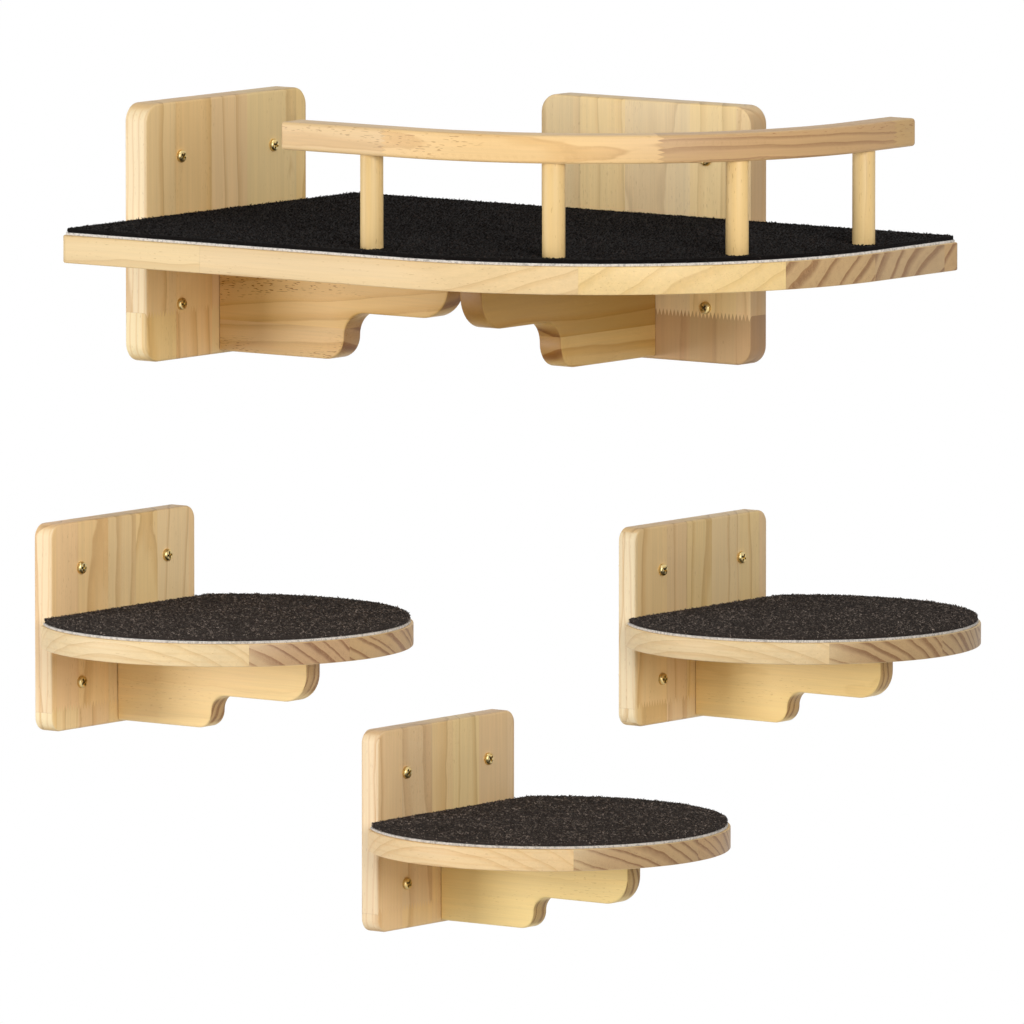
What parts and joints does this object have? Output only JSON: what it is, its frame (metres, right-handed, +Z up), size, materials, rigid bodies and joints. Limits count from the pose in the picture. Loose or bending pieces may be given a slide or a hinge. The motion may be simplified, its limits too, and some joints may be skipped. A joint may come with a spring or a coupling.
{
  "type": "cat wall shelf",
  "caption": "Set of wall shelves for a cat: a pine corner perch with carpeted platform and curved guard rail, and round carpeted steps, each on bracketed wall plates.",
  "frame": {"origin": "the corner where the side wall (x = 0) and the end wall (y = 0) meet, level with the foot of the perch's wall plates", "axes": "+X leads out from the side wall into the room, -Y out from the end wall into the room, +Z is up"},
  "size_m": [0.649, 1.069, 0.703],
  "materials": {
    "pine_plate": "clear matt lacquer",
    "pine_bracket": "clear matt lacquer",
    "pine_deck": "clear matt lacquer",
    "pine_rail": "clear matt lacquer",
    "pine_post": "clear matt lacquer",
    "carpet_backing": "woven, matt",
    "black_pile": "short cut pile",
    "charcoal_pile": "short cut pile",
    "yellow_zinc": "yellow zinc plate"
  },
  "bodies": {
    "root": {"perch_side_plate": "pine_plate", "perch_end_plate": "pine_plate", "perch_side_bracket": "pine_bracket", "perch_end_bracket": "pine_bracket", "perch_platform": "pine_deck", "perch_carpet_backing": "carpet_backing", "perch_carpet_pile": "black_pile", "guard_rail": "pine_rail", "perch_side_wall_screws": "yellow_zinc", "perch_end_wall_screws": "yellow_zinc", "perch_side_bracket_screws": "yellow_zinc", "perch_end_bracket_screws": "yellow_zinc", "perch_platform_screws": "yellow_zinc", "rail_post_screws": "yellow_zinc", "rail_post_1": "pine_post", "rail_post_2": "pine_post", "rail_post_3": "pine_post", "rail_post_4": "pine_post", "left_step_plate": "pine_plate", "left_step_bracket": "pine_bracket", "left_step_tread": "pine_deck", "left_step_carpet_backing": "carpet_backing", "left_step_carpet_pile": "charcoal_pile", "left_step_wall_screws": "yellow_zinc", "left_step_bracket_screws": "yellow_zinc", "left_step_tread_screws": "yellow_zinc", "right_step_plate": "pine_plate", "right_step_bracket": "pine_bracket", "right_step_tread": "pine_deck", "right_step_carpet_backing": "carpet_backing", "right_step_carpet_pile": "charcoal_pile", "right_step_wall_screws": "yellow_zinc", "right_step_bracket_screws": "yellow_zinc", "right_step_tread_screws": "yellow_zinc", "low_step_plate": "pine_plate", "low_step_bracket": "pine_bracket", "low_step_tread": "pine_deck", "low_step_carpet_backing": "carpet_backing", "low_step_carpet_pile": "charcoal_pile", "low_step_wall_screws": "yellow_zinc", "low_step_bracket_screws": "yellow_zinc", "low_step_tread_screws": "yellow_zinc"}
  },
  "joints": []
}
